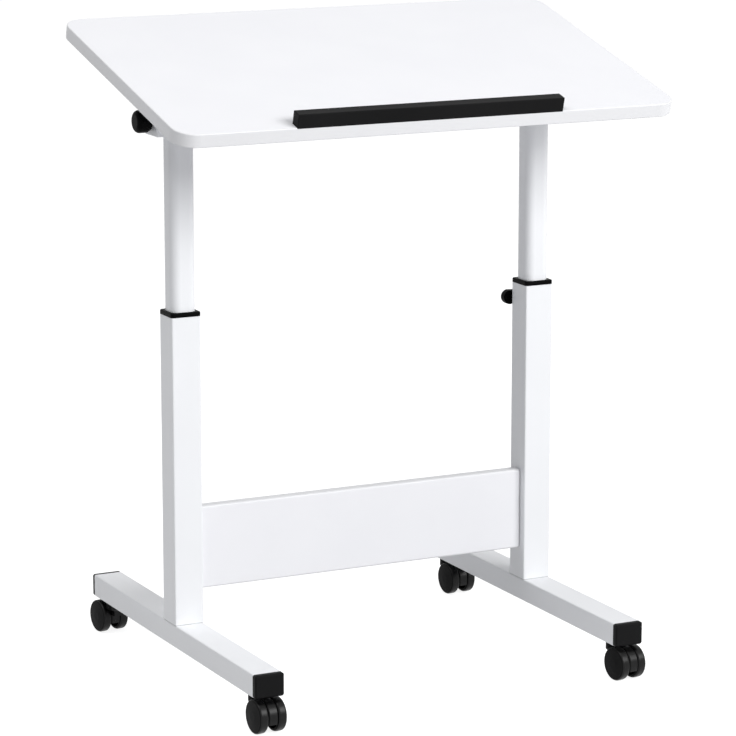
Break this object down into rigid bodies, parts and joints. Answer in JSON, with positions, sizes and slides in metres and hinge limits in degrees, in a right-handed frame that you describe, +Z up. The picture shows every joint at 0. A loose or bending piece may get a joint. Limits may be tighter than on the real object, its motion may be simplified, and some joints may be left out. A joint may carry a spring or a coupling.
{
  "type": "laptop table",
  "caption": "White laptop table on twin-wheel casters: telescopic height-adjustable legs, a cross panel, and a tilting desktop with a stop ledge and clamp knobs.",
  "frame": {"origin": "on the floor under the middle of the footprint", "axes": "+Z up, +X to the right as seen from the front, +Y towards the back; the ledge is along the front edge"},
  "size_m": [0.7, 0.5588, 0.8515],
  "materials": {
    "white_board": "white melamine-faced particle board, satin",
    "white_band": "white plastic edge band, satin",
    "white_steel": "white powder coat, satin",
    "black_plastic": "black moulded plastic, satin",
    "black_nylon": "black nylon wheels and hoods, semi-gloss",
    "white_nylon": "natural nylon bushes and glides",
    "zinc_steel": "zinc-plated steel fasteners",
    "brass_insert": "turned brass threaded insert"
  },
  "bodies": {
    "base": {"left_post": "white_steel", "right_post": "white_steel", "left_guide_sleeve": "black_plastic", "right_guide_sleeve": "black_plastic", "clamp_nuts": "white_steel", "cross_panel": "white_board", "cross_panel_edge_band": "white_band", "panel_tabs": "white_steel", "panel_screws": "zinc_steel", "left_foot": "white_steel", "right_foot": "white_steel", "foot_end_caps": "black_plastic", "post_base_plates": "zinc_steel", "foot_bolts": "zinc_steel", "caster_stems": "zinc_steel", "caster_nuts": "zinc_steel"},
    "lift": {"left_upper_tube": "white_steel", "right_upper_tube": "white_steel", "left_post_head": "white_steel", "right_post_head": "white_steel", "pivot_bushes": "white_nylon", "tube_glides": "white_nylon"},
    "desktop": {"desktop_board": "white_board", "desktop_edge_band": "white_band", "ledge_bar": "black_plastic", "ledge_screws": "zinc_steel", "left_desk_bracket": "white_steel", "right_desk_bracket": "white_steel", "bracket_screws": "zinc_steel", "left_pivot_bolt": "zinc_steel", "right_pivot_bolt": "zinc_steel"},
    "left_tilt_knob": {"left_tilt_knob": "black_plastic", "left_tilt_knob_insert": "brass_insert"},
    "right_tilt_knob": {"right_tilt_knob": "black_plastic", "right_tilt_knob_insert": "brass_insert"},
    "left_height_knob": {"left_height_knob": "black_plastic", "left_height_knob_stud": "zinc_steel"},
    "right_height_knob": {"right_height_knob": "black_plastic", "right_height_knob_stud": "zinc_steel"},
    "front_left_caster": {"front_left_caster_hood": "black_nylon", "front_left_caster_axle": "zinc_steel"},
    "front_left_caster_wheel_l": {"front_left_caster_wheel_l": "black_nylon"},
    "front_left_caster_wheel_r": {"front_left_caster_wheel_r": "black_nylon"},
    "front_right_caster": {"front_right_caster_hood": "black_nylon", "front_right_caster_axle": "zinc_steel"},
    "front_right_caster_wheel_l": {"front_right_caster_wheel_l": "black_nylon"},
    "front_right_caster_wheel_r": {"front_right_caster_wheel_r": "black_nylon"},
    "back_left_caster": {"back_left_caster_hood": "black_nylon", "back_left_caster_axle": "zinc_steel"},
    "back_left_caster_wheel_l": {"back_left_caster_wheel_l": "black_nylon"},
    "back_left_caster_wheel_r": {"back_left_caster_wheel_r": "black_nylon"},
    "back_right_caster": {"back_right_caster_hood": "black_nylon", "back_right_caster_axle": "zinc_steel"},
    "back_right_caster_wheel_l": {"back_right_caster_wheel_l": "black_nylon"},
    "back_right_caster_wheel_r": {"back_right_caster_wheel_r": "black_nylon"}
  },
  "joints": [
    {"name": "height_lift", "type": "slide", "parent": "base", "child": "lift", "axis": [0, 0, 1], "range_m": [-0.205, 0.1]},
    {"name": "desk_tilt", "type": "hinge", "parent": "lift", "child": "desktop", "pos_m": [0, 0, 0.737], "axis": [1, 0, 0], "range_deg": [-15, 45]},
    {"name": "left_tilt_knob_turn", "type": "hinge", "parent": "desktop", "child": "left_tilt_knob", "pos_m": [-0.3056, 0, 0.737], "axis": [-1, 0, 0], "range_deg": [0, 720]},
    {"name": "right_tilt_knob_turn", "type": "hinge", "parent": "desktop", "child": "right_tilt_knob", "pos_m": [0.3056, 0, 0.737], "axis": [1, 0, 0], "range_deg": [0, 720]},
    {"name": "left_height_knob_turn", "type": "hinge", "parent": "base", "child": "left_height_knob", "pos_m": [-0.2575, 0.0301, 0.465], "axis": [0, 1, 0], "range_deg": [0, 720]},
    {"name": "right_height_knob_turn", "type": "hinge", "parent": "base", "child": "right_height_knob", "pos_m": [0.2575, 0.0301, 0.465], "axis": [0, 1, 0], "range_deg": [0, 720]},
    {"name": "front_left_caster_swivel", "type": "hinge", "parent": "base", "child": "front_left_caster", "pos_m": [-0.2575, -0.236, 0.0465], "axis": [0, 0, 1], "continuous": true},
    {"name": "front_left_caster_wheel_l_roll", "type": "hinge", "parent": "front_left_caster", "child": "front_left_caster_wheel_l", "pos_m": [-0.25645, -0.25597, 0.022], "axis": [0.9986, 0.0523, 0], "continuous": true},
    {"name": "front_left_caster_wheel_r_roll", "type": "hinge", "parent": "front_left_caster", "child": "front_left_caster_wheel_r", "pos_m": [-0.25645, -0.25597, 0.022], "axis": [0.9986, 0.0523, 0], "continuous": true},
    {"name": "front_right_caster_swivel", "type": "hinge", "parent": "base", "child": "front_right_caster", "pos_m": [0.2575, -0.236, 0.0465], "axis": [0, 0, 1], "continuous": true},
    {"name": "front_right_caster_wheel_l_roll", "type": "hinge", "parent": "front_right_caster", "child": "front_right_caster_wheel_l", "pos_m": [0.25959, -0.25589, 0.022], "axis": [0.9945, 0.1045, 0], "continuous": true},
    {"name": "front_right_caster_wheel_r_roll", "type": "hinge", "parent": "front_right_caster", "child": "front_right_caster_wheel_r", "pos_m": [0.25959, -0.25589, 0.022], "axis": [0.9945, 0.1045, 0], "continuous": true},
    {"name": "back_left_caster_swivel", "type": "hinge", "parent": "base", "child": "back_left_caster", "pos_m": [-0.2575, 0.236, 0.0465], "axis": [0, 0, 1], "continuous": true},
    {"name": "back_left_caster_wheel_l_roll", "type": "hinge", "parent": "back_left_caster", "child": "back_left_caster_wheel_l", "pos_m": [-0.25959, 0.25589, 0.022], "axis": [-0.9945, -0.1045, 0], "continuous": true},
    {"name": "back_left_caster_wheel_r_roll", "type": "hinge", "parent": "back_left_caster", "child": "back_left_caster_wheel_r", "pos_m": [-0.25959, 0.25589, 0.022], "axis": [-0.9945, -0.1045, 0], "continuous": true},
    {"name": "back_right_caster_swivel", "type": "hinge", "parent": "base", "child": "back_right_caster", "pos_m": [0.2575, 0.236, 0.0465], "axis": [0, 0, 1], "continuous": true},
    {"name": "back_right_caster_wheel_l_roll", "type": "hinge", "parent": "back_right_caster", "child": "back_right_caster_wheel_l", "pos_m": [0.25855, 0.21603, 0.022], "axis": [0.9986, 0.0523, 0], "continuous": true},
    {"name": "back_right_caster_wheel_r_roll", "type": "hinge", "parent": "back_right_caster", "child": "back_right_caster_wheel_r", "pos_m": [0.25855, 0.21603, 0.022], "axis": [0.9986, 0.0523, 0], "continuous": true}
  ]
}
